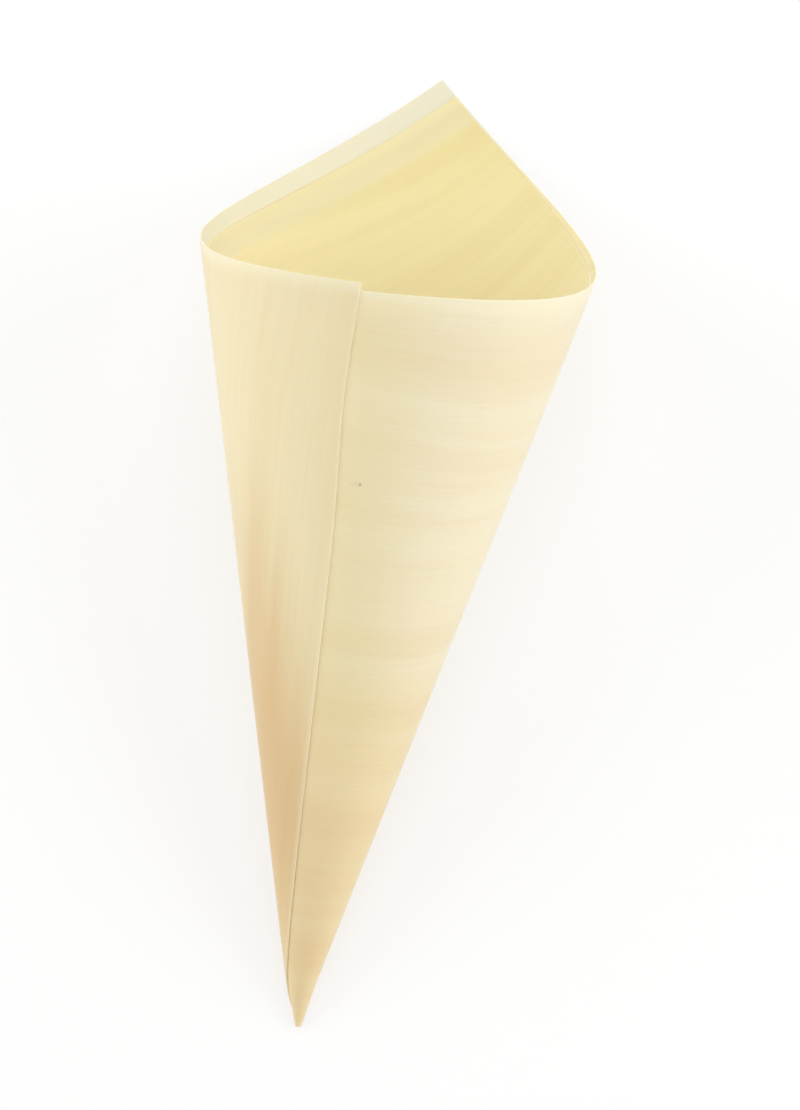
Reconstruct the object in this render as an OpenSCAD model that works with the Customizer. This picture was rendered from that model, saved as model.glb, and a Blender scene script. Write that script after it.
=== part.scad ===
// Food cone rolled from one rectangular sheet of wood veneer, about two turns.
// The middle of one long edge of the sheet becomes the tip, the outer half of that edge shows
// as the seam up the front, and the far corner next to it becomes the tall back of the rim.
// The cone lies on its heavy back side, tip towards -Y and seam upwards.

/* [Veneer sheet] */
// Height of the sheet, from its tip edge to its far edge
sheet_h = 123.5; // [100:0.5:150]
// Length of the sheet, from its outer end to its inner end
sheet_l = 251.5; // [210:0.5:300]
// Thickness of the veneer
veneer_t = 0.3; // [0.2:0.05:0.6]

/* [Roll] */
// Angle between the axis of the cone and its side
half_angle = 14.25; // [12.5:0.05:16]
// Distance from the middle of the sheet's length to the tip, towards its inner end
tip_shift = 2.25; // [-6:0.25:6]
// Distance from the tip edge of the sheet to the point where the sides would meet
tip_cut = 3.2; // [2.5:0.1:8]
// Diameter of the hole left at the tip
tip_bore = 0.35; // [0.3:0.05:1.5]
// Thickness of the glue line between two turns
glue_t = 0.04; // [0.02:0.01:0.1]
// Turn of the thin wall that gives way and lies flat on the surface under it, in degrees
rest_flat = 12; // [8:1:24]

/* [Facets] */
// Turn of the roll from one straight line of the side to the next, in degrees
facet_turn = 2; // [1:0.5:5]

/* [Hidden] */

// The sheet lies flat with the roll's apex at [0, 0] and its tip edge at y = tip_cut.
// A fan angle of 0 points to the outer end, 90 to the far edge and 180 to the inner end.
far_y = tip_cut + sheet_h;
outer_l = sheet_l / 2 + tip_shift;
inner_l = sheet_l / 2 - tip_shift;
outer_fan = atan2(tip_cut, outer_l);
outer_corner = atan2(far_y, outer_l);
inner_corner = 180 - atan2(far_y, inner_l);
inner_fan = 180 - atan2(tip_cut, inner_l);

// Fan angle that one full turn takes up, and how far apart two turns lie
turn_fan = 360 * sin(half_angle);
pitch = veneer_t + glue_t;

// Even steps from one fan angle up to the next, without the last one
function steps(from, to) =
    let (count = ceil((to - from) / (facet_turn * sin(half_angle))))
    [for (i = [0 : count - 1]) from + (to - from) * i / count];

fans = concat(
    steps(outer_fan, outer_corner),
    steps(outer_corner, inner_corner),
    steps(inner_corner, inner_fan),
    [inner_fan]
);
last = len(fans) - 1;

// Where a line from the apex enters the sheet at its tip edge and leaves it at the rim
function tip_reach(fan) = tip_cut / sin(fan);
function rim_reach(fan) =
    fan <= outer_corner ? outer_l / cos(fan) :
    fan <= inner_corner ? far_y / sin(fan) :
    inner_l / -cos(fan);

// The inner face of the sheet winds outwards from the bore at the tip
bore_lift = (tip_bore / 2 - tip_cut * sin(half_angle)) / cos(half_angle);
function face_lift(fan, outside) =
    bore_lift + pitch * (90 - fan) / turn_fan + (outside ? veneer_t : 0);

// Heavy side of the rolled sheet, as a turn from the fan's zero line
function weight(fan) = pow(rim_reach(fan), 3) - pow(tip_reach(fan), 3);
function turn_of(fan) = fan / sin(half_angle);
heavy_turn = atan2(
    sum([for (fan = fans) weight(fan) * sin(turn_of(fan))]),
    sum([for (fan = fans) weight(fan) * cos(turn_of(fan))])
);

function sum(values) = values * [for (v = values) 1];

// A point of the rolled sheet on the standing cone, heavy side towards +Y, tip at the origin
function rolled(fan, reach, outside) =
    let (
        lift = face_lift(fan, outside),
        radius = reach * sin(half_angle) + lift * cos(half_angle),
        height = reach * cos(half_angle) - lift * sin(half_angle),
        angle = 90 + heavy_turn - turn_of(fan)
    )
    [radius * cos(angle), radius * min(sin(angle), cos(rest_flat / 2)), height];

// The standing cone laid down on the flat that faces +Y
rest_angle = atan(tan(half_angle) * cos(rest_flat / 2));
function laid(p) = [
    p.x,
    p.y * sin(rest_angle) + p.z * cos(rest_angle),
    p.z * sin(rest_angle) - p.y * cos(rest_angle)
];

// Every fan line gives four points, and the two end lines shrink to a corner of the sheet
function line_points(fan) = [
    for (outside = [true, false], reach = [tip_reach(fan), rim_reach(fan)])
        laid(rolled(fan, reach, outside))
];
function end_points(fan) = [
    for (outside = [true, false]) laid(rolled(fan, rim_reach(fan), outside))
];
function at(line, inside, rim) =
    line == 0 ? inside :
    line == last ? 4 * last - 2 + inside :
    4 * line - 2 + 2 * inside + rim;

lying = concat(
    end_points(fans[0]),
    [for (i = [1 : last - 1]) each line_points(fans[i])],
    end_points(fans[last])
);

// Four corners as two triangles, leaving out a triangle with a repeated corner
function has_area(t) = t[0] != t[1] && t[1] != t[2] && t[2] != t[0];
function triangles(a, b, c, d) = [for (t = [[a, b, c], [a, c, d]]) if (has_area(t)) t];

sheet_faces = [
    for (i = [0 : last - 1]) each concat(
        triangles(at(i, 0, 0), at(i, 0, 1), at(i + 1, 0, 1), at(i + 1, 0, 0)),
        triangles(at(i, 1, 0), at(i + 1, 1, 0), at(i + 1, 1, 1), at(i, 1, 1)),
        triangles(at(i, 0, 0), at(i + 1, 0, 0), at(i + 1, 1, 0), at(i, 1, 0)),
        triangles(at(i, 0, 1), at(i, 1, 1), at(i + 1, 1, 1), at(i + 1, 0, 1))
    )
];

// The origin is under the middle of the cone, on the surface that it lies on
low = [for (axis = [0 : 2]) min([for (p = lying) p[axis]])];
high = [for (axis = [0 : 2]) max([for (p = lying) p[axis]])];
middle = [(low.x + high.x) / 2, (low.y + high.y) / 2, low.z];

module cone() {
    color([0.94, 0.89, 0.77])
        polyhedron(points = [for (p = lying) p - middle], faces = sheet_faces, convexity = 6);
}

cone();
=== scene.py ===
"""A food cone rolled from one sheet of pale wood veneer, lying on a plain pale floor.

The sheet is laid out flat at its cut size, and that layout stays its map for the grain.
It is then rolled about two turns on a cone, thickened, and softened at its cut edges.
Lengths are metres and angles degrees, unless a name or a docstring says otherwise.
"""

import logging
import math
from abc import ABC, abstractmethod
from dataclasses import dataclass
from enum import Enum

import bpy
import numpy as np
from mathutils import Matrix, Vector


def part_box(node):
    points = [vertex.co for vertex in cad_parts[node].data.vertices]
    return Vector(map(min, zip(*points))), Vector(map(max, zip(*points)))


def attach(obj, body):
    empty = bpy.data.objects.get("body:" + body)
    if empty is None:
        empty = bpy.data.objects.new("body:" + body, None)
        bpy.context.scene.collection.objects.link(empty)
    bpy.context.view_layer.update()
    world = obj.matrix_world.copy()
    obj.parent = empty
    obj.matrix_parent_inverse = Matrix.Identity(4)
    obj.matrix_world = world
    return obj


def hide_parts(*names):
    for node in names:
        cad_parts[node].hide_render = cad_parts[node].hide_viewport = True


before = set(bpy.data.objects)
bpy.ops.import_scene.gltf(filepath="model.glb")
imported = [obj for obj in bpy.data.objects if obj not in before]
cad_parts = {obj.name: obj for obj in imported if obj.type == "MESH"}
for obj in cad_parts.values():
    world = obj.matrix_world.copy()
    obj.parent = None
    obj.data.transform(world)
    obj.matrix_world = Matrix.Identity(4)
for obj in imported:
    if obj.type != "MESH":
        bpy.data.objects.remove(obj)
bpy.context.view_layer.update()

LOG = logging.getLogger("food_cone")
MM = 0.001

SHEET_MAP = "Sheet"
BAKE_MAP = "OFBake"

Pair = tuple[float, float]
Triple = tuple[float, float, float]
Colour = tuple[float, float, float, float]
Socket = bpy.types.NodeSocket
Number = float | Socket

YELLOW_WOOD: Colour = (0.850, 0.720, 0.350, 1.0)
BROWN_WOOD: Colour = (0.560, 0.390, 0.180, 1.0)
WHITE: Colour = (1.0, 1.0, 1.0, 1.0)


class SheetFace(Enum):
    """The faces of the veneer sheet, by the material slot that each one fills."""

    OUTSIDE = 0
    INSIDE = 1
    CUT_EDGE = 2


class SheetEdge(Enum):
    """The four cut edges of the sheet, in their order on the bake map."""

    TIP = 0
    FAR = 1
    OUTER_END = 2
    INNER_END = 3


def read_values(
    items: bpy.types.bpy_prop_collection, name: str, kind: type, width: int = 1
) -> np.ndarray:
    """Read one property of all points, corners or faces of a mesh.

    Args:
        items: The points, corners or faces.
        name: The property's name.
        kind: The kind of number that it holds.
        width: How many numbers each item has.

    Returns:
        One number for each item, or one row where an item has more than one.
    """
    values = np.zeros(len(items) * width, dtype=kind)
    items.foreach_get(name, values)
    return values if width == 1 else values.reshape(-1, width)


@dataclass(frozen=True)
class SheetCut:
    """The flat sheet, with the roll's apex at the origin and the grain along X."""

    height: float = 123.5 * MM
    length: float = 251.5 * MM
    tip_shift: float = 2.25 * MM
    tip_cut: float = 3.2 * MM

    @property
    def outer_end(self) -> float:
        """Place along X of the end that lies outside."""
        return -(self.length / 2 + self.tip_shift)

    @property
    def inner_end(self) -> float:
        """Place along X of the end that lies inside."""
        return self.length / 2 - self.tip_shift

    @property
    def far_edge(self) -> float:
        """Place along Y of the edge that makes the rim."""
        return self.tip_cut + self.height


@dataclass(frozen=True)
class ConeRoll:
    """How the flat sheet winds up into a cone, and how that cone lies."""

    cut: SheetCut = SheetCut()
    veneer: float = 0.3 * MM
    glue: float = 0.04 * MM
    half_angle: float = 14.25
    tip_bore: float = 0.35 * MM
    rest_flat: float = 12.0
    fan_margin: float = 0.02
    fan_steps: int = 7201

    @property
    def half(self) -> float:
        """The half angle in radians."""
        return math.radians(self.half_angle)

    @property
    def turn_fan(self) -> float:
        """Angle of the flat sheet that one turn takes up."""
        return 360 * math.sin(self.half)

    @property
    def heavy_turn(self) -> float:
        """Turn at which most of the sheet lies, in radians from the fan's zero line.

        Returns:
            The turn of the middle of the sheet's weight.
        """
        fan = np.radians(np.linspace(self.fan_margin, 180 - self.fan_margin, self.fan_steps))
        end = np.where(np.cos(fan) > 0, -self.cut.outer_end, self.cut.inner_end)
        rim = np.minimum(end / np.abs(np.cos(fan)), self.cut.far_edge / np.sin(fan))
        tip = np.minimum(self.cut.tip_cut / np.sin(fan), rim)
        weight = rim**3 - tip**3
        turn = fan / math.sin(self.half)
        return math.atan2(np.sum(weight * np.sin(turn)), np.sum(weight * np.cos(turn)))

    @staticmethod
    def fan(flat: np.ndarray) -> np.ndarray:
        """Fan angles of places on the flat sheet, in radians, zero towards the outer end."""
        return np.arctan2(flat[:, 1], -flat[:, 0])

    @staticmethod
    def reach(flat: np.ndarray) -> np.ndarray:
        """Distances of places on the flat sheet from the roll's apex."""
        return np.hypot(flat[:, 0], flat[:, 1])

    def turned(self, flat: np.ndarray) -> np.ndarray:
        """Angles round the standing cone in radians, a quarter turn at the line that it lies on."""
        return math.pi / 2 + self.heavy_turn - self.fan(flat) / math.sin(self.half)

    def laid(self, flat: np.ndarray, lift: float | np.ndarray) -> np.ndarray:
        """Roll places on the flat sheet and lay the cone on its narrow flat.

        Args:
            flat: Places on the flat sheet, one row each.
            lift: How far each one stands off the inner face of the roll.

        Returns:
            Their places on the lying cone, with the apex at the origin.
        """
        sine, cosine = math.sin(self.half), math.cos(self.half)
        bore_lift = (self.tip_bore / 2 - self.cut.tip_cut * sine) / cosine
        wound = (self.veneer + self.glue) * (90 - np.degrees(self.fan(flat))) / self.turn_fan
        off = bore_lift + wound + lift
        reach = self.reach(flat)
        radius = reach * sine + off * cosine
        height = reach * cosine - off * sine
        angle = self.turned(flat)
        flat_share = math.cos(math.radians(self.rest_flat / 2))
        back = radius * np.minimum(np.sin(angle), flat_share)
        rest = math.atan(math.tan(self.half) * flat_share)
        return np.stack(
            [
                radius * np.cos(angle),
                back * math.sin(rest) + height * math.cos(rest),
                height * math.sin(rest) - back * math.cos(rest),
            ],
            axis=1,
        )


class NodeBoard:
    """The shader nodes of one material or world, added and joined by short calls."""

    # Blender's Mix node holds sockets of other kinds too, and these are its colours
    MIX_FIRST = 6
    MIX_SECOND = 7
    MIX_RESULT = 2

    def __init__(self, owner: bpy.types.Material | bpy.types.World) -> None:
        """Start with an empty board.

        Args:
            owner: The material or world whose nodes are made.
        """
        owner.use_nodes = True
        self.tree = owner.node_tree
        self.tree.nodes.clear()

    def add(
        self, kind: str, inputs: dict[str | int, object] | None = None, **settings: object
    ) -> bpy.types.Node:
        """Add one node.

        Args:
            kind: Blender's name of the node's type.
            inputs: Values or sockets for its inputs, by name or number.
            **settings: Its own properties, by name.

        Returns:
            The new node.
        """
        node = self.tree.nodes.new(kind)
        for name, value in settings.items():
            setattr(node, name, value)
        for key, value in (inputs or {}).items():
            if isinstance(value, Socket):
                self.tree.links.new(value, node.inputs[key])
            else:
                node.inputs[key].default_value = value
        return node

    def math(self, operation: str, first: Number, second: Number) -> Socket:
        """Work out one number from two others, by an operation that Blender's Math node knows."""
        return self.add("ShaderNodeMath", {0: first, 1: second}, operation=operation).outputs[0]

    def length(self, place: Socket) -> Socket:
        """Distance of a place from zero."""
        return self.add("ShaderNodeVectorMath", {0: place}, operation="LENGTH").outputs["Value"]

    def ramp(self, value: Socket, span: Pair, levels: Pair = (0.0, 1.0)) -> Socket:
        """Ease a number smoothly from one level to another.

        Args:
            value: The socket to read.
            span: Where the change begins and where it is over.
            levels: The level before the change and the one after it.

        Returns:
            The socket that holds the eased level.
        """
        node = self.add(
            "ShaderNodeMapRange",
            {
                "Value": value,
                "From Min": span[0],
                "From Max": span[1],
                "To Min": levels[0],
                "To Max": levels[1],
            },
            interpolation_type="SMOOTHSTEP",
        )
        return node.outputs["Result"]

    def mix(
        self, share: Number, first: Colour | Socket, second: Colour | Socket, blend: str = "MIX"
    ) -> Socket:
        """Blend two colours.

        Args:
            share: How much of the second colour is taken.
            first: The first colour or socket.
            second: The second colour or socket.
            blend: Blender's name of the way of blending.

        Returns:
            The socket with the blended colour.
        """
        node = self.add(
            "ShaderNodeMix",
            {0: share, self.MIX_FIRST: first, self.MIX_SECOND: second},
            data_type="RGBA",
            blend_type=blend,
        )
        return node.outputs[self.MIX_RESULT]


@dataclass(frozen=True)
class Grain:
    """Noise that is drawn out along the grain, and the part of its range that shows.

    Its waves are per millimetre of the flat sheet.
    """

    along: float
    across: float
    detail: float
    rough: float = 0.5
    shows: Pair = (0.0, 1.0)


class SheetBoard(NodeBoard):
    """The nodes of one veneer material, with the place on the flat sheet.

    Places are in millimetres from the roll's apex, along the grain and across it.
    """

    def __init__(self, material: bpy.types.Material, roll: ConeRoll) -> None:
        """Start a board with the place on the sheet.

        Args:
            material: The material whose nodes are made.
            roll: The roll that the sheet is wound into.
        """
        super().__init__(material)
        self.roll = roll
        flat = self.add("ShaderNodeUVMap", uv_map=SHEET_MAP).outputs["UV"]
        scaled = self.add("ShaderNodeVectorMath", {0: flat, "Scale": 1.0 / MM}, operation="SCALE")
        self.place = scaled.outputs[0]
        self.along, self.across = self.axes(self.place)

    def axes(self, place: Socket) -> tuple[Socket, Socket]:
        """The two parts of a place on the sheet, along the grain and across it."""
        node = self.add("ShaderNodeSeparateXYZ", {"Vector": place})
        return node.outputs["X"], node.outputs["Y"]

    def noise(self, grain: Grain, place: Socket) -> Socket:
        """Noise at a place on the sheet.

        Args:
            grain: The noise's waves.
            place: The place.

        Returns:
            The socket with the noise, about 0.5 on average.
        """
        waves = (grain.along, grain.across, 0.0)
        drawn_out = self.add("ShaderNodeVectorMath", {0: place, 1: waves}, operation="MULTIPLY")
        node = self.add(
            "ShaderNodeTexNoise",
            {
                "Vector": drawn_out.outputs[0],
                "Scale": 1.0,
                "Detail": grain.detail,
                "Roughness": grain.rough,
            },
            noise_dimensions="2D",
        )
        return node.outputs[0]

    def streaks(self, grain: Grain, place: Socket, share: float) -> Socket:
        """The part of a noise that shows at a place, eased from 0 up to a share."""
        return self.ramp(self.noise(grain, place), grain.shows, (0.0, share))


class ToneLayer(ABC):
    """A tone that lies over the colour of the wood.

    Tones are linear colours, and places and widths on the sheet are in millimetres.
    """

    @abstractmethod
    def paint(self, board: SheetBoard, colour: Socket) -> Socket:
        """Lay the tone over the wood.

        Args:
            board: The material's nodes.
            colour: The colour of the wood so far.

        Returns:
            The socket with the colour, tone included.
        """


@dataclass(frozen=True)
class Mark(ToneLayer):
    """One soft-edged mark in the wood, drawn out along its own length.

    Its fade is measured in its own spread, and its turn is taken from the grain.
    """

    tone: Colour
    share: float
    place: Pair
    spread: Pair
    fade: Pair
    turn: float = 0.0
    uneven: float = 0.0
    uneven_grain: Grain = Grain(along=0.02, across=0.22, detail=2.0)

    def paint(self, board: SheetBoard, colour: Socket) -> Socket:
        """Set the mark into the wood.

        Args:
            board: The material's nodes.
            colour: The colour around the mark.

        Returns:
            The socket with the colour, mark included.
        """
        own = board.add(
            "ShaderNodeMapping",
            {
                "Vector": board.place,
                "Location": (*self.place, 0.0),
                "Rotation": (0.0, 0.0, math.radians(self.turn)),
                "Scale": (*self.spread, 1.0),
            },
            vector_type="TEXTURE",
        )
        away = board.length(own.outputs[0])
        if self.uneven:
            noise = board.noise(self.uneven_grain, board.place)
            away = board.math("ADD", away, board.math("MULTIPLY", noise, self.uneven))
        return board.mix(board.ramp(away, self.fade, (self.share, 0.0)), colour, self.tone)


@dataclass(frozen=True)
class SeamTone(ToneLayer):
    """Yellower colour beside the seam, on the turn that the lap lies on."""

    tone: Colour = YELLOW_WOOD
    share: float = 0.35
    along: Pair = (-17.0, -2.0)
    across: Pair = (35.0, 65.0)

    def paint(self, board: SheetBoard, colour: Socket) -> Socket:
        """Make the colour yellower beside the seam.

        Args:
            board: The material's nodes.
            colour: The colour of the wood.

        Returns:
            The socket with the colour, seam's side included.
        """
        near = board.ramp(board.along, self.along, (0.0, self.share))
        beside = board.math("MULTIPLY", near, board.ramp(board.across, self.across))
        return board.mix(beside, colour, self.tone)


@dataclass(frozen=True)
class PaleAndLitEdge(ToneLayer):
    """Paler colour along the rim and the seam, beside the sheet's cut edges: partly paler fibres at
    the cut, partly a painted highlight where the edges catch the light.
    """

    tone: Colour = (0.890, 0.835, 0.640, 1.0)
    rim_share: float = 0.55
    rim_fade: float = 3.0
    seam_share: float = 0.25
    seam_fade: float = 0.8

    def paint(self, board: SheetBoard, colour: Socket) -> Socket:
        """Paint the rim and the seam paler, part fibre colour and part painted highlight.

        Args:
            board: The material's nodes.
            colour: The colour of the wood.

        Returns:
            The socket with the colour, rim and seam included.
        """
        cut = board.roll.cut
        from_end = board.math("SUBTRACT", board.along, cut.outer_end / MM)
        from_far = board.math("SUBTRACT", cut.far_edge / MM, board.across)
        from_rim = board.math("MINIMUM", from_end, from_far)
        rim = board.ramp(from_rim, (0.0, self.rim_fade), (self.rim_share, 0.0))
        from_seam = board.math("SUBTRACT", board.across, cut.tip_cut / MM)
        seam = board.ramp(from_seam, (0.0, self.seam_fade), (self.seam_share, 0.0))
        return board.mix(seam, board.mix(rim, colour, self.tone), self.tone)


@dataclass(frozen=True)
class BacklitStrip(ToneLayer):
    """Painted backlight: the single turn along the rim made paler, as if lit through, and the
    yellower lip of the turn under it.

    The strip is strongest along the outer end of the sheet.
    """

    tone: Colour = (0.755, 0.722, 0.560, 1.0)
    shares: Pair = (0.9, 0.27)
    along: Pair = (-119.0, -104.0)
    soft: Pair = (-0.45, 0.35)
    lip_tone: Colour = YELLOW_WOOD
    lip_share: float = 0.5
    lip_fade: Pair = (1.04, 2.6)
    lip_along: Pair = (-8.0, 4.0)

    def paint(self, board: SheetBoard, colour: Socket) -> Socket:
        """Paint backlight into the single turn, paler, and make the lip yellower.

        Args:
            board: The material's nodes.
            colour: The colour of the wood.

        Returns:
            The socket with the colour, strip and lip included.
        """
        from_far = board.math("SUBTRACT", board.roll.cut.far_edge / MM, board.across)
        lip = board.ramp(from_far, self.lip_fade, (self.lip_share, 0.0))
        lip = board.math("MULTIPLY", lip, board.ramp(board.along, self.lip_along))
        share = board.ramp(board.along, self.along, self.shares)
        strip = board.math("MULTIPLY", self._single_turn(board), share)
        return board.mix(strip, board.mix(lip, colour, self.lip_tone), self.tone)

    def _single_turn(self, board: SheetBoard) -> Socket:
        """Where the wall is only one turn thick near the outer end of the sheet.

        Args:
            board: The material's nodes.

        Returns:
            The socket that is 1 where no inner turn lies against the sheet.
        """
        inner = board.add(
            "ShaderNodeVectorRotate",
            {"Vector": board.place, "Angle": math.radians(-board.roll.turn_fan)},
            rotation_type="Z_AXIS",
        )
        along, across = board.axes(inner.outputs[0])
        past_far = board.math("SUBTRACT", across, board.roll.cut.far_edge / MM)
        past_end = board.math("SUBTRACT", along, board.roll.cut.inner_end / MM)
        return board.ramp(board.math("MAXIMUM", past_far, past_end), self.soft)


@dataclass(frozen=True)
class VeneerFinish:
    """Raw sliced veneer: light bands and streaks in warmer wood, fine fibres and small flecks.

    The colour is warm at the first reach of warm_reach from the roll's apex, and lighter by the
    second;
    outside, that warmth near the apex is partly painted warm bounce light, and inside it is painted
    shade.
    Tones are linear colours, and places and widths on the sheet are in millimetres.
    """

    name: str
    face: SheetFace
    # pale is painted light: high across the sheet, where cream turns to pale, the cone's lit side is
    # made paler
    pale: Colour = (0.882, 0.795, 0.575, 1.0)
    cream: Colour = (0.872, 0.752, 0.475, 1.0)
    warm: Colour = (0.790, 0.600, 0.328, 1.0)
    fleck: Colour = BROWN_WOOD
    lit_side_across: Pair = (40.0, 66.0)
    warm_reach: Pair = (28.0, 86.0)
    drift_share: float = 0.55
    wander: float = 14.0
    wander_grain: Grain = Grain(along=0.011, across=0.016, detail=1.0)
    band_shift: float = 0.0
    band_share: float = 0.30
    band_grain: Grain = Grain(along=0.004, across=0.10, detail=2.0, shows=(0.32, 0.68))
    streak_share: float = 0.09
    streak_grain: Grain = Grain(along=0.010, across=0.62, detail=3.0, shows=(0.30, 0.70))
    fibre_grain: Grain = Grain(along=0.035, across=3.1, detail=4.0, rough=0.6, shows=(0.25, 0.75))
    fibre_levels: Pair = (0.987, 1.013)
    fibre_bump: float = 0.5
    fibre_depth: float = 0.02 * MM
    fleck_share: float = 0.08
    fleck_grain: Grain = Grain(along=0.20, across=5.2, detail=1.0, shows=(0.66, 0.80))
    under_fibres: tuple[ToneLayer, ...] = ()
    over_fibres: tuple[ToneLayer, ...] = ()
    rough_from: Pair = (0.30, 0.70)
    roughness: Pair = (0.57, 0.68)
    gloss: float = 0.4
    sheen: float = 0.22
    sheen_roughness: float = 0.5
    sheen_tint: Colour = (0.85, 0.93, 1.0, 1.0)
    scatter: float = 0.25
    scatter_depth: float = 0.6 * MM
    scatter_shares: Triple = (1.0, 0.85, 0.55)

    def build(self, roll: ConeRoll) -> bpy.types.Material:
        """Make the material.

        Args:
            roll: The roll of the sheet that the grain lies on.

        Returns:
            The finished material.
        """
        material = bpy.data.materials.new(self.name)
        board = SheetBoard(material, roll)
        fibres = board.noise(self.fibre_grain, board.place)
        colour = self._wood(board)
        for layer in self.under_fibres:
            colour = layer.paint(board, colour)
        colour = self._fibred(board, colour, fibres)
        for layer in self.over_fibres:
            colour = layer.paint(board, colour)
        bump = board.add(
            "ShaderNodeBump",
            {"Height": fibres, "Strength": self.fibre_bump, "Distance": self.fibre_depth},
        )
        shader = board.add(
            "ShaderNodeBsdfPrincipled",
            {
                "Base Color": colour,
                "Roughness": board.ramp(fibres, self.rough_from, self.roughness),
                "Normal": bump.outputs["Normal"],
                "Specular IOR Level": self.gloss,
                "Sheen Weight": self.sheen,
                "Sheen Roughness": self.sheen_roughness,
                "Sheen Tint": self.sheen_tint,
                "Subsurface Weight": self.scatter,
                "Subsurface Radius": self.scatter_shares,
                "Subsurface Scale": self.scatter_depth,
            },
        )
        board.add("ShaderNodeOutputMaterial", {"Surface": shader.outputs["BSDF"]})
        return material

    def _wood(self, board: SheetBoard) -> Socket:
        """Colour of the wood without its fibres.

        Args:
            board: The material's nodes.

        Returns:
            The socket with the colour.
        """
        wander = board.math("MULTIPLY", board.noise(self.wander_grain, board.place), self.wander)
        shifted = board.math("ADD", board.across, board.math("ADD", wander, self.band_shift))
        bent = board.add("ShaderNodeCombineXYZ", {"X": board.along, "Y": shifted}).outputs[0]
        share = board.ramp(board.length(board.place), self.warm_reach, (0.0, self.drift_share))
        share = board.math("ADD", share, board.streaks(self.band_grain, bent, self.band_share))
        share = board.math("ADD", share, board.streaks(self.streak_grain, bent, self.streak_share))
        # Painted light: cream turns pale high across the sheet, making the cone's lit side paler
        light = board.mix(board.ramp(board.across, self.lit_side_across), self.cream, self.pale)
        return board.mix(share, self.warm, light)

    def _fibred(self, board: SheetBoard, colour: Socket, fibres: Socket) -> Socket:
        """Add fine fibre lines and small flecks to the wood.

        Args:
            board: The material's nodes.
            colour: The colour of the wood.
            fibres: The fine fibre noise.

        Returns:
            The socket with the colour, fibres and flecks included.
        """
        lines = board.ramp(fibres, self.fibre_grain.shows, self.fibre_levels)
        colour = board.mix(1.0, colour, lines, "MULTIPLY")
        flecks = board.streaks(self.fleck_grain, board.place, self.fleck_share)
        return board.mix(flecks, colour, self.fleck)


# Warm mark low on the lap's side: partly a real stain, partly painted warm bounce light
STAIN_AND_BOUNCE_LIGHT = Mark(
    tone=(0.690, 0.475, 0.225, 1.0),
    share=0.88,
    place=(-46.6, 11.6),
    spread=(54.0, 14.0),
    fade=(0.30, 1.30),
    turn=-14.0,
    uneven=0.4,
)
KNOT_HALO = Mark(
    tone=BROWN_WOOD,
    share=0.16,
    place=(-2.0, 95.0),
    spread=(1.9, 0.55),
    fade=(0.2, 1.0),
)
PIN_KNOT = Mark(
    tone=(0.330, 0.235, 0.100, 1.0),
    share=0.6,
    place=(-2.6, 95.0),
    spread=(0.30, 0.30),
    fade=(0.4, 1.0),
)

VENEER_FINISHES = (
    VeneerFinish(
        "veneer_outside",
        SheetFace.OUTSIDE,
        band_shift=11.0,
        under_fibres=(SeamTone(), STAIN_AND_BOUNCE_LIGHT),
        over_fibres=(PaleAndLitEdge(), KNOT_HALO, PIN_KNOT),
    ),
    VeneerFinish(
        "veneer_inside",
        SheetFace.INSIDE,
        # Yellower than the outside, partly as painted bounce light between the walls
        pale=(0.915, 0.800, 0.465, 1.0),
        cream=(0.915, 0.800, 0.465, 1.0),
        warm=(0.755, 0.640, 0.300, 1.0),
        # Reversed drift: painted shade, darker towards the tall corner, which lies most open to the
        # light
        warm_reach=(176.0, 128.0),
        drift_share=0.50,
        band_share=0.27,
        over_fibres=(BacklitStrip(),),
    ),
    VeneerFinish(
        "veneer_cut_edge",
        SheetFace.CUT_EDGE,
        # Paler than the faces, partly as painted light where the thin cut edges light up
        pale=(0.920, 0.850, 0.660, 1.0),
        cream=(0.920, 0.850, 0.640, 1.0),
        warm=(0.860, 0.740, 0.480, 1.0),
        fleck_share=0.0,
        sheen=0.0,
    ),
)


@dataclass(frozen=True)
class Wave:
    """One soft wave in the wall: its strength, its swells in a turn and how it winds upwards.

    Its start is in radians, and its winding is the reach over which it shifts by one radian.
    """

    share: float
    swells: int
    start: float
    winding: float

    def level(self, angle: np.ndarray, reach: np.ndarray) -> np.ndarray:
        """Height of the wave at angles in radians and at reaches from the apex."""
        return self.share * np.sin(self.swells * angle + self.start + reach / self.winding)


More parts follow.
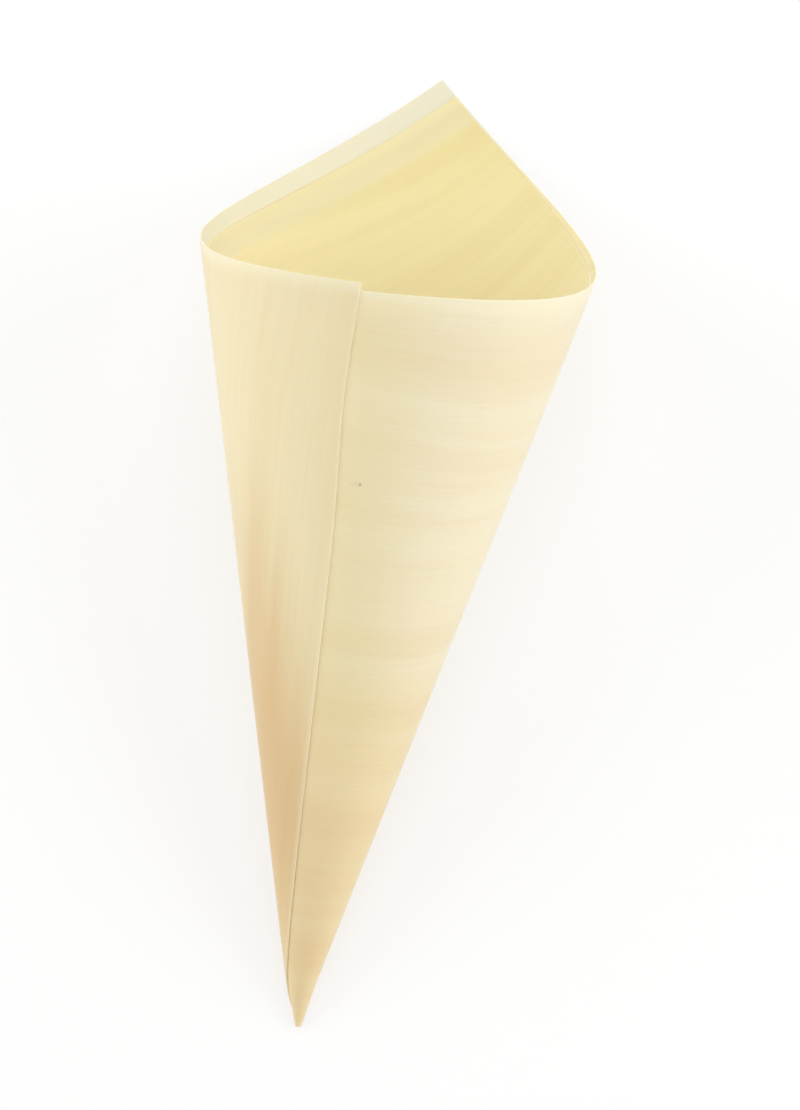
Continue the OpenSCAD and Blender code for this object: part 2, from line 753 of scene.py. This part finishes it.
@dataclass(frozen=True)
class VeneerGive:
    """How the sheet strays from an even roll: its wall sways, laps press, seam bows and tip leans."""

    sway: float = 0.16 * MM
    sway_reach: float = 130 * MM
    sway_waves: tuple[Wave, ...] = (
        Wave(share=1.0, swells=3, start=0.7, winding=60 * MM),
        Wave(share=0.6, swells=5, start=0.0, winding=-23 * MM),
    )
    floor_ease: float = 0.35
    lap_press: float = 0.034 * MM
    lap_width: float = 3.5 * MM
    lap_from: float = 1.5 * MM
    lap_ease: float = 4.5 * MM
    seam_bow: float = 0.85 * MM
    bow_place: float = -109 * MM
    bow_width: float = 15 * MM
    bow_fade: int = 6
    tip_lean: float = 0.65 * MM
    lean_reach: float = 12 * MM
    lean_fade: float = 1.5

    def swayed(self, flat: np.ndarray, roll: ConeRoll) -> np.ndarray:
        """Sway of the wall, the same for turns that lie on each other and none on the floor.

        Args:
            flat: Places on the flat sheet, one row each.
            roll: The roll that they are wound into.

        Returns:
            The lift of each place off the even roll.
        """
        angle, reach = roll.turned(flat), roll.reach(flat)
        off_floor = 1 - np.exp(-(((1 - np.sin(angle)) / self.floor_ease) ** 2))
        waves = sum(wave.level(angle, reach) for wave in self.sway_waves)
        return self.sway * np.minimum(reach / self.sway_reach, 1.0) ** 2 * off_floor * waves

    def pressed(self, flat: np.ndarray, cut: SheetCut) -> np.ndarray:
        """Press the seam's lap inwards, and the lap at the inner end outwards.

        Args:
            flat: Places on the flat sheet, one row each.
            cut: The flat sheet.

        Returns:
            The lift of each place off the even roll.
        """
        along, across = flat[:, 0], flat[:, 1]
        from_inner = np.minimum(cut.far_edge - across, cut.inner_end - along)
        inner_lap = self._near(from_inner) * self._past_apex(along)
        outer_lap = self._near(across - cut.tip_cut) * self._past_apex(-along)
        return self.lap_press * (inner_lap - outer_lap)

    def _near(self, gap: np.ndarray) -> np.ndarray:
        """Level that falls from 1 at the edge of a lap to 0 away from it."""
        return np.exp(-((gap / self.lap_width) ** 2))

    def _past_apex(self, along: np.ndarray) -> np.ndarray:
        """Level that eases from 0 to 1 a little way past the apex."""
        return np.clip((along - self.lap_from) / self.lap_ease, 0.0, 1.0)

    def bowed(self, flat: np.ndarray, cut: SheetCut) -> np.ndarray:
        """Bow the seam a little.

        Args:
            flat: Places on the flat sheet, one row each.
            cut: The flat sheet.

        Returns:
            The places with the edge of the lap drawn in.
        """
        bowed = flat.copy()
        share = np.exp(-(((flat[:, 0] - self.bow_place) / self.bow_width) ** 2))
        left = np.clip(1 - (flat[:, 1] - cut.tip_cut) / cut.height, 0.0, 1.0)
        bowed[:, 1] += self.seam_bow * share * left**self.bow_fade
        return bowed

    def leaned(self, reach: np.ndarray) -> np.ndarray:
        """Shift to the side at reaches from the apex, most at the tip."""
        return self.tip_lean * np.clip(1 - reach / self.lean_reach, 0.0, 1.0) ** self.lean_fade


@dataclass(frozen=True)
class BakeLayout:
    """How the sheet's faces share the bake map: inside low, outside high, cut edges between."""

    margin: float = 0.01
    face_height: float = 0.46
    outside_from: float = 0.53
    edges_from: float = 0.487
    edge_pitch: float = 0.007
    edge_height: float = 0.005
    halfway: float = 0.5

    def lay_out(self, mesh: bpy.types.Mesh, cut: SheetCut) -> None:
        """Add the bake map to the thick sheet.

        Args:
            mesh: The thick sheet's mesh.
            cut: The flat sheet.
        """
        flat = read_values(mesh.uv_layers[SHEET_MAP].uv, "vector", np.float32, 2)
        along = (flat[:, 0] - cut.outer_end) / cut.length
        across = (flat[:, 1] - cut.tip_cut) / cut.height
        sides = read_values(mesh.polygons, "loop_total", np.int32)
        face = np.repeat(read_values(mesh.polygons, "material_index", np.int32), sides)
        edge = self._nearest_edge(along, across, sides)
        on_edge = face == SheetFace.CUT_EDGE.value
        on_end = on_edge & (edge >= SheetEdge.OUTER_END.value)
        face_from = np.where(face == SheetFace.OUTSIDE.value, self.outside_from, self.margin)
        strip = self.edges_from + self.edge_pitch * edge + self.edge_height * self._depth(mesh, face)
        spread = np.zeros_like(flat)
        spread[:, 0] = self.margin + (1 - 2 * self.margin) * np.where(on_end, across, along)
        spread[:, 1] = np.where(on_edge, strip, face_from + self.face_height * across)
        mesh.uv_layers.new(name=BAKE_MAP).uv.foreach_set("vector", spread.ravel())

    @staticmethod
    def _nearest_edge(along: np.ndarray, across: np.ndarray, sides: np.ndarray) -> np.ndarray:
        """Find the edge of the sheet that each face lies closest to.

        Args:
            along: Each corner's share of the sheet's length.
            across: Each corner's share of the sheet's height.
            sides: Number of corners of each face.

        Returns:
            The number of the edge, for each corner.
        """
        owner = np.repeat(np.arange(len(sides)), sides)
        mean_along = np.bincount(owner, along) / sides
        mean_across = np.bincount(owner, across) / sides
        gaps = {
            SheetEdge.TIP: mean_across,
            SheetEdge.FAR: 1 - mean_across,
            SheetEdge.OUTER_END: mean_along,
            SheetEdge.INNER_END: 1 - mean_along,
        }
        return np.argmin(np.stack([gaps[edge] for edge in SheetEdge]), axis=0)[owner]

    def _depth(self, mesh: bpy.types.Mesh, face: np.ndarray) -> np.ndarray:
        """Find how far through the sheet each corner lies.

        Args:
            mesh: The thick sheet's mesh.
            face: Number of the sheet's face that each corner belongs to.

        Returns:
            The depth of each corner, 0 at the inside and 1 at the outside.
        """
        vertex = read_values(mesh.loops, "vertex_index", np.int32)
        depth = np.full(len(mesh.vertices), self.halfway)
        depth[vertex[face == SheetFace.INSIDE.value]] = 0.0
        depth[vertex[face == SheetFace.OUTSIDE.value]] = 1.0
        return depth[vertex]


@dataclass(frozen=True)
class RolledCone:
    """The veneer cone as one piece: its mesh, the softness of its edges, and its finishes."""

    name: str = "veneer_cone"
    roll: ConeRoll = ConeRoll()
    give: VeneerGive = VeneerGive()
    layout: BakeLayout = BakeLayout()
    finishes: tuple[VeneerFinish, ...] = VENEER_FINISHES
    columns: int = 290
    rows: int = 118
    line_samples: int = 4000
    finest: float = 0.15 * MM
    widest: float = 1.3 * MM
    widening: float = 16 * MM
    edge_hold: float = 0.15 * MM
    edge_round: float = 0.035 * MM
    edge_segments: int = 2
    edge_angle: float = 55.0
    smooth_angle: float = 50.0

    def build(self) -> bpy.types.Object:
        """Model the cone and dress it.

        Returns:
            The finished piece.
        """
        piece = self._lay_flat()
        self._roll(piece.data)
        self._thicken(piece)
        self.layout.lay_out(piece.data, self.roll.cut)
        self._dress(piece)
        return piece

    def _lay_flat(self) -> bpy.types.Object:
        """Add the sheet as a flat grid at its cut size, with its own map.

        Returns:
            The flat sheet, its face turned the way that will be outside.
        """
        bpy.ops.object.select_all(action="DESELECT")
        bpy.ops.mesh.primitive_grid_add(
            x_subdivisions=self.columns, y_subdivisions=self.rows, size=1.0, calc_uvs=True
        )
        piece = bpy.context.object
        piece.name = self.name
        piece.data.name = self.name
        bpy.ops.object.mode_set(mode="EDIT")
        bpy.ops.mesh.select_all(action="SELECT")
        bpy.ops.mesh.flip_normals()
        bpy.ops.object.mode_set(mode="OBJECT")
        self._space_lines(piece.data)
        return piece

    def _space_lines(self, mesh: bpy.types.Mesh) -> None:
        """Move the grid's lines to their places on the sheet, and keep the layout as its map.

        Args:
            mesh: The grid, one metre wide about the origin.
        """
        cut = self.roll.cut
        shares = read_values(mesh.vertices, "co", float, 3) + 0.5
        flat = np.zeros_like(shares)
        flat[:, 0] = self._spaced(shares[:, 0], cut.outer_end, cut.inner_end, self.columns)
        flat[:, 1] = self._spaced(shares[:, 1], cut.tip_cut, cut.far_edge, self.rows)
        mesh.vertices.foreach_set("co", flat.ravel())
        vertex = read_values(mesh.loops, "vertex_index", np.int32)
        sheet_map = mesh.uv_layers[0]
        sheet_map.name = SHEET_MAP
        sheet_map.uv.foreach_set("vector", flat[vertex, :2].ravel().astype(np.float32))

    def _spaced(self, shares: np.ndarray, low: float, high: float, count: int) -> np.ndarray:
        """Space out the lines along one axis of the sheet, closest together near the apex.

        Args:
            shares: Each point's even share of the way from the first line to the last.
            low: Where the first line lies.
            high: Where the last line lies.
            count: Number of gaps between the lines.

        Returns:
            The place of each point.
        """
        places = np.linspace(low + self.edge_hold, high - self.edge_hold, self.line_samples)
        from_apex = np.abs(places) - max(low, 0.0)
        gap = self.finest + (self.widest - self.finest) * (1 - np.exp(-from_apex / self.widening))
        passed = np.concatenate([[0.0], np.cumsum(np.diff(places) / gap[1:])])
        between = np.interp(np.linspace(0, passed[-1], count - 1), passed, places)
        lines = np.concatenate([[low], between, [high]])
        return np.interp(shares, np.linspace(0, 1, count + 1), lines)

    def _roll(self, mesh: bpy.types.Mesh) -> None:
        """Move the flat sheet's points to their rolled places, as its inner face.

        Args:
            mesh: The flat sheet's mesh.
        """
        roll, give = self.roll, self.give
        flat = read_values(mesh.vertices, "co", float, 3)
        lift = give.swayed(flat, roll) + give.pressed(flat, roll.cut)
        rolled = roll.laid(give.bowed(flat, roll.cut), lift) + self._seat(flat)
        rolled[:, 0] += give.leaned(roll.reach(flat))
        mesh.vertices.foreach_set("co", rolled.ravel())
        mesh.update()

    def _seat(self, flat: np.ndarray) -> np.ndarray:
        """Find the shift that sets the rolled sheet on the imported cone's place.

        Args:
            flat: Places on the flat sheet, one row each.

        Returns:
            The shift along X, Y and Z.
        """
        faces = np.concatenate([self.roll.laid(flat, lift) for lift in (0.0, self.roll.veneer)])
        low, high = faces.min(axis=0), faces.max(axis=0)
        node_low, node_high = (np.array(corner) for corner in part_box("cone"))
        shift = (node_low + node_high) / 2 - (low + high) / 2
        shift[2] = node_low[2] - low[2]
        return shift

    def _thicken(self, piece: bpy.types.Object) -> None:
        """Give the sheet its thickness, outwards, and soften its cut edges.

        Args:
            piece: The rolled sheet.
        """
        for _ in SheetFace:
            piece.data.materials.append(None)
        wall = piece.modifiers.new("veneer", "SOLIDIFY")
        wall.thickness = self.roll.veneer
        wall.offset = 1.0
        wall.material_offset = SheetFace.INSIDE.value
        wall.material_offset_rim = SheetFace.CUT_EDGE.value
        soft = piece.modifiers.new("cut_edges", "BEVEL")
        soft.width = self.edge_round
        soft.segments = self.edge_segments
        soft.limit_method = "ANGLE"
        soft.angle_limit = math.radians(self.edge_angle)
        bpy.context.view_layer.objects.active = piece
        for name in (wall.name, soft.name):
            bpy.ops.object.modifier_apply(modifier=name)
        bpy.ops.object.shade_smooth_by_angle(angle=math.radians(self.smooth_angle))

    def _dress(self, piece: bpy.types.Object) -> None:
        """Give each face of the sheet its finish, and place the piece in the frame.

        Args:
            piece: The thick sheet.
        """
        for finish in self.finishes:
            piece.data.materials[finish.face.value] = finish.build(self.roll)
        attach(piece, "root")
        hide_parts("cone")


@dataclass(frozen=True)
class Lamp:
    """One soft square lamp that faces the cone, with its power in watts."""

    name: str
    place: Triple
    side: float
    power: float

    def hang(self) -> None:
        """Add the lamp to the scene."""
        bpy.ops.object.light_add(type="AREA", location=self.place)
        lamp = bpy.context.object
        lamp.name = self.name
        lamp.data.shape = "SQUARE"
        lamp.data.size = self.side
        lamp.data.energy = self.power
        lamp.rotation_euler = (-Vector(self.place)).to_track_quat("-Z", "Y").to_euler()


@dataclass(frozen=True)
class Studio:
    """Plain pale floor, soft lamps round the cone and a pale surround.

    To the camera, the floor is mixed with plain white, more so further from the cone.
    """

    floor_side: float = 6.0
    floor_drop: float = 0.05 * MM
    floor_tone: Colour = (0.90, 0.90, 0.895, 1.0)
    white_strength: float = 1.02
    white_shares: Pair = (0.6, 1.0)
    white_from: Pair = (0.16, 0.60)
    surround: float = 0.44
    lamps: tuple[Lamp, ...] = (
        Lamp("right_lamp", (0.85, 0.05, 0.42), side=0.8, power=5.1),
        Lamp("left_lamp", (-0.85, 0.00, 0.42), side=0.8, power=4.8),
        Lamp("mouth_lamp", (0.05, 0.85, 0.66), side=0.8, power=2.5),
        Lamp("top_lamp", (0.00, 0.12, 1.20), side=0.9, power=2.5),
    )

    def build(self) -> None:
        """Make the floor, the surround and the lamps."""
        self._lay_floor()
        self._light_surround()
        for lamp in self.lamps:
            lamp.hang()
        LOG.info("studio: floor, surround and %d lamps", len(self.lamps))

    @staticmethod
    def _seen(board: NodeBoard) -> Socket:
        """Find where a ray comes from the camera, or from a mirror or a clear surface.

        Args:
            board: The nodes of the floor or the surround.

        Returns:
            The socket that is 1 for such a ray.
        """
        path = board.add("ShaderNodeLightPath").outputs
        seen = board.math("MAXIMUM", path["Is Camera Ray"], path["Is Glossy Ray"])
        return board.math("MAXIMUM", seen, path["Is Transmission Ray"])

    def _lay_floor(self) -> None:
        """Lay the floor just under the cone."""
        bpy.ops.object.select_all(action="DESELECT")
        bpy.ops.mesh.primitive_plane_add(size=self.floor_side, location=(0, 0, -self.floor_drop))
        floor = bpy.context.object
        floor.name = "floor"
        material = bpy.data.materials.new("pale_floor")
        board = NodeBoard(material)
        matt = board.add("ShaderNodeBsdfDiffuse", {"Color": self.floor_tone})
        white = board.add("ShaderNodeEmission", {"Strength": self.white_strength})
        away = board.length(board.add("ShaderNodeTexCoord").outputs["Object"])
        share = board.ramp(away, self.white_from, self.white_shares)
        share = board.math("MULTIPLY", self._seen(board), share)
        both = board.add("ShaderNodeMixShader", {0: share, 1: matt.outputs[0], 2: white.outputs[0]})
        board.add("ShaderNodeOutputMaterial", {"Surface": both.outputs[0]})
        floor.data.materials.append(material)

    def _light_surround(self) -> None:
        """Light the scene softly from all round, and show white behind it."""
        world = bpy.data.worlds.new("pale_surround")
        bpy.context.scene.world = world
        board = NodeBoard(world)
        strength = board.math("MAXIMUM", self._seen(board), self.surround)
        sky = board.add("ShaderNodeBackground", {"Color": WHITE, "Strength": strength})
        board.add("ShaderNodeOutputWorld", {"Surface": sky.outputs[0]})


@dataclass(frozen=True)
class PhotoCamera:
    """Camera that sees the lying cone at the photograph's angle to it."""

    target: Triple = (7.4 * MM, -10.8 * MM, 22.0 * MM)
    azimuth: float = 12.75
    elevation: float = 69.63
    roll: float = 4.94
    distance: float = 756.0 * MM
    view_height: float = 186.7 * MM
    frame_width: int = 800
    frame_height: int = 1110
    sensor_mm: float = 36.0

    def build(self) -> None:
        """Make the camera and set it as the scene's own."""
        turn, rise = math.radians(self.azimuth), math.radians(self.elevation)
        level = math.cos(rise)
        back = Vector((math.sin(turn) * level, -math.cos(turn) * level, math.sin(rise)))
        right = Vector((math.cos(turn), math.sin(turn), 0.0))
        upward = back.cross(right)
        lean = Matrix.Rotation(math.radians(-self.roll), 3, back)
        axes = Matrix((lean @ right, lean @ upward, back)).transposed().to_4x4()
        place = Vector(self.target) + back * self.distance
        bpy.ops.object.camera_add()
        camera = bpy.context.object
        camera.name = "photo_camera"
        camera.matrix_world = Matrix.Translation(place) @ axes
        camera.data.sensor_fit = "HORIZONTAL"
        camera.data.sensor_width = self.sensor_mm
        view_width = self.view_height * self.frame_width / self.frame_height
        camera.data.lens = self.sensor_mm * self.distance / view_width
        bpy.context.scene.camera = camera
        LOG.info("%s: lens of %.0f mm", camera.name, camera.data.lens)


def main() -> None:
    """Build the camera, the studio and the cone, and log the cone's number of faces."""
    logging.basicConfig(level=logging.INFO, format="%(name)s: %(message)s")
    PhotoCamera().build()
    Studio().build()
    bpy.context.scene.view_settings.view_transform = "Standard"
    cone = RolledCone().build()
    LOG.info("%s: %d faces", cone.name, len(cone.data.polygons))


if __name__ == "__main__":
    main()
